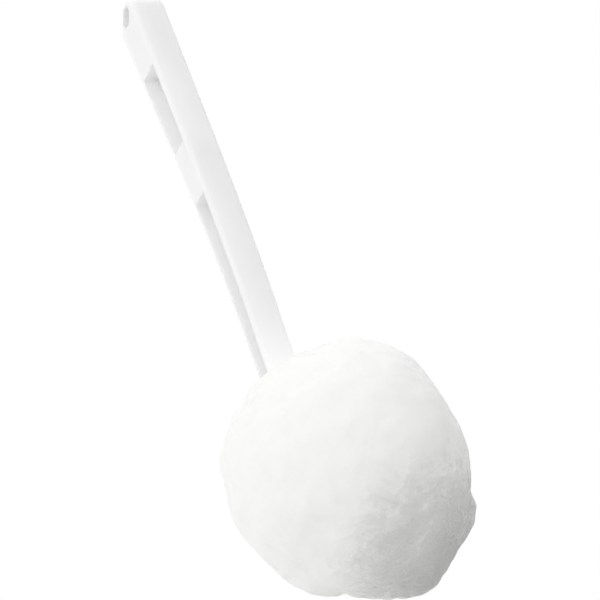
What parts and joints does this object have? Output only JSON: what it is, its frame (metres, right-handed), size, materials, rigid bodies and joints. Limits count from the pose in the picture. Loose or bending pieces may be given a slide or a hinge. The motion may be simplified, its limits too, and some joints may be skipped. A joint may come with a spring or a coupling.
{
  "type": "toilet bowl mop",
  "caption": "White toilet bowl mop: a ball of fluffy synthetic fibre on a slightly arched moulded plastic handle with recessed sides and a slotted hang hole.",
  "frame": {"origin": "centre of the hang hole, in the middle of the handle's width", "axes": "+Z along the handle, from the fibre ball up to the hang hole, so the mop hangs as it would on a hook; -Y is the plain front of the handle; +X runs along the hang hole, across the recessed sides"},
  "size_m": [0.114, 0.1166, 0.343],
  "materials": {
    "polypropylene": "satin",
    "fibre": "matte",
    "wire": "satin"
  },
  "bodies": {
    "root": {"handle": "polypropylene", "head_hank_1": "fibre", "head_hank_2": "fibre", "head_hank_3": "fibre", "head_hank_4": "fibre", "head_hank_5": "fibre", "head_hank_6": "fibre", "head_hank_7": "fibre", "head_hank_8": "fibre", "head_crown": "fibre", "binding_wire": "wire"}
  },
  "joints": []
}
